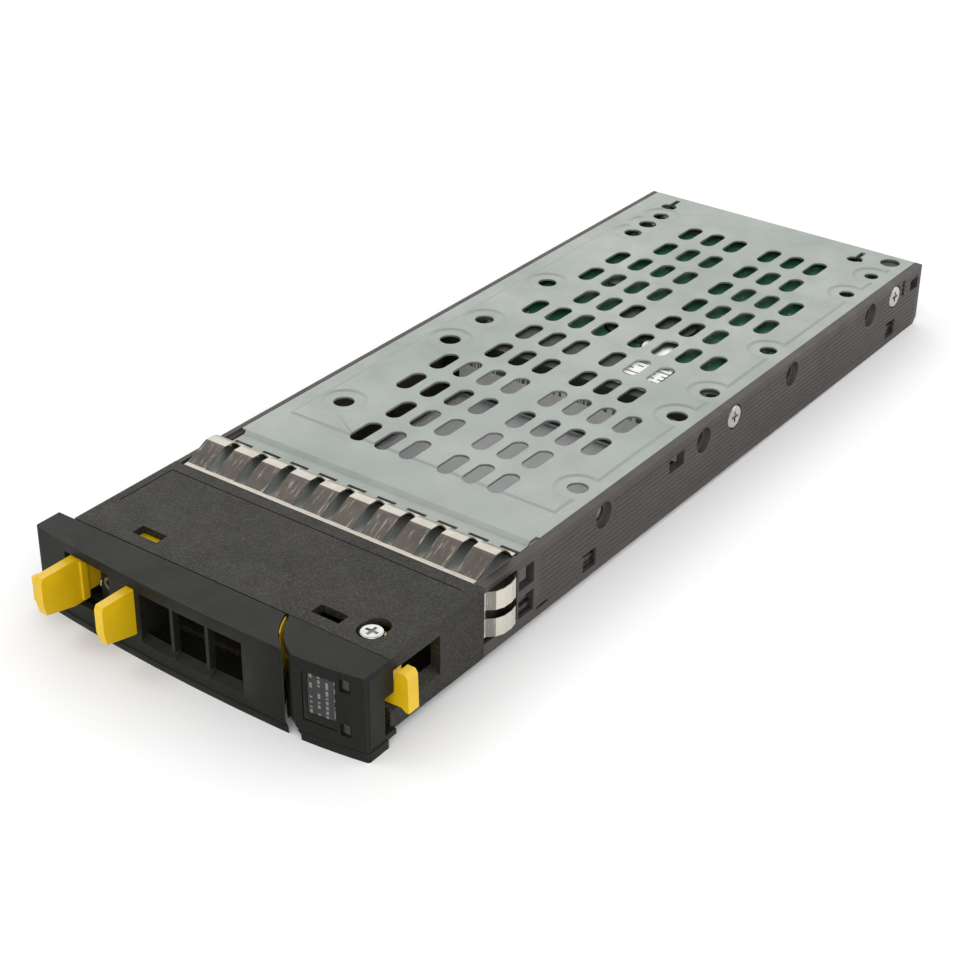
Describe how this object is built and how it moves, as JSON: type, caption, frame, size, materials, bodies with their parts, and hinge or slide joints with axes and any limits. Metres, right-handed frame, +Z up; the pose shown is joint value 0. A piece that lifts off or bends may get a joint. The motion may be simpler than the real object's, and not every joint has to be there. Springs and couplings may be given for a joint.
{
  "type": "hard disk drive",
  "caption": "Small enterprise hard disk drive in a long hot-swap carrier, with a perforated steel plate, spring fingers and a swinging front handle with a squeeze latch.",
  "frame": {"origin": "centre of the footprint, at the height of the bezel's lower flange", "axes": "+Z up, +Y along the carrier towards the drive connector, +X to the right seen from the bezel"},
  "size_m": [0.0861, 0.2268, 0.0204],
  "materials": {
    "zinc_sheet": "galvanised, matt",
    "rail_plastic": "ribbed black moulding",
    "textured_plastic": "black, fine spark-eroded texture",
    "bezel_plastic": "black, smooth satin",
    "yellow_plastic": "yellow, satin gloss",
    "bright_screw": "bright zinc",
    "brass_bush": "plain",
    "spring_steel": "bright nickel-plated spring strip",
    "label_print": "printed film",
    "light_pipe": "clear acrylic",
    "cast_aluminium": "die cast, dark",
    "black_casting": "die cast, black electrocoat",
    "cover_steel": "satin",
    "gasket_rubber": "matt",
    "green_board": "solder mask",
    "chip_black": "moulded epoxy",
    "connector_plastic": "glass-filled nylon",
    "paper_label": "printed paper",
    "copper_winding": "enamelled copper",
    "magnet_nickel": "nickel plate",
    "white_plastic": "natural acetal",
    "filter_fabric": "felt",
    "spring_wire": "drawn wire",
    "flex_amber": "polyimide film",
    "lock_steel": "dark steel",
    "disk_mirror": "mirror polished"
  },
  "bodies": {
    "carrier": {"top_plate": "zinc_sheet", "left_rail": "rail_plastic", "right_rail": "rail_plastic", "rail_screws": "bright_screw", "front_housing": "textured_plastic", "housing_base": "textured_plastic", "base_screws": "bright_screw", "pivot_bush": "brass_bush", "pivot_screw": "bright_screw", "emi_fingers_top": "spring_steel", "emi_fingers_right": "spring_steel", "emi_fingers_left": "spring_steel", "emi_screen": "zinc_sheet", "led_bezel": "bezel_plastic", "led_label": "label_print", "light_pipes": "light_pipe", "drive_base": "black_casting", "drive_cover": "cover_steel", "cover_gasket": "gasket_rubber", "cover_screws": "bright_screw", "circuit_board": "green_board", "board_screws": "bright_screw", "board_chips": "chip_black", "sas_connector": "connector_plastic", "end_label": "paper_label", "board_label": "paper_label", "foil_seal": "cover_steel", "spindle_shaft": "bright_screw", "motor_stator": "copper_winding", "actuator_shaft": "bright_screw", "upper_yoke": "cover_steel", "lower_yoke": "cover_steel", "coil_magnets": "magnet_nickel", "load_ramp": "white_plastic", "air_filter": "filter_fabric", "head_connector": "connector_plastic", "flex_cable": "flex_amber"},
    "handle": {"handle_cover": "bezel_plastic", "cam_lever": "yellow_plastic", "latch_spring": "spring_wire"},
    "latch": {"latch_button": "yellow_plastic"},
    "lock": {"tamper_lock": "lock_steel"},
    "spindle": {"spindle_hub": "cast_aluminium", "rotor_magnet": "magnet_nickel", "disks": "disk_mirror", "disk_spacers": "bright_screw", "disk_clamp": "cover_steel", "clamp_screws": "bright_screw"},
    "actuator": {"actuator_arms": "cast_aluminium", "voice_coil": "copper_winding", "head_suspensions": "cover_steel", "pivot_bearing": "bright_screw"}
  },
  "joints": [
    {"name": "handle_swing", "type": "hinge", "parent": "carrier", "child": "handle", "pos_m": [0.031, -0.091, 0.01], "axis": [0, 0, 1], "range_deg": [0, 36]},
    {"name": "latch_slide", "type": "slide", "parent": "handle", "child": "latch", "axis": [1, 0, 0], "range_m": [0, 0.003], "stiffness_N_per_m": 300, "springref_m": -0.002, "deforming": ["latch_spring"]},
    {"name": "lock_turn", "type": "hinge", "parent": "handle", "child": "lock", "pos_m": [-0.025, -0.1, 0.0108], "axis": [0, -1, 0], "range_deg": [0, 90]},
    {"name": "spindle_spin", "type": "hinge", "parent": "carrier", "child": "spindle", "pos_m": [0.00195, 0.04815, 0.008], "axis": [0, 0, 1], "continuous": true},
    {"name": "actuator_swing", "type": "hinge", "parent": "carrier", "child": "actuator", "pos_m": [0.00995, 0.08765, 0.008], "axis": [0, 0, 1], "range_deg": [0, 29]}
  ]
}
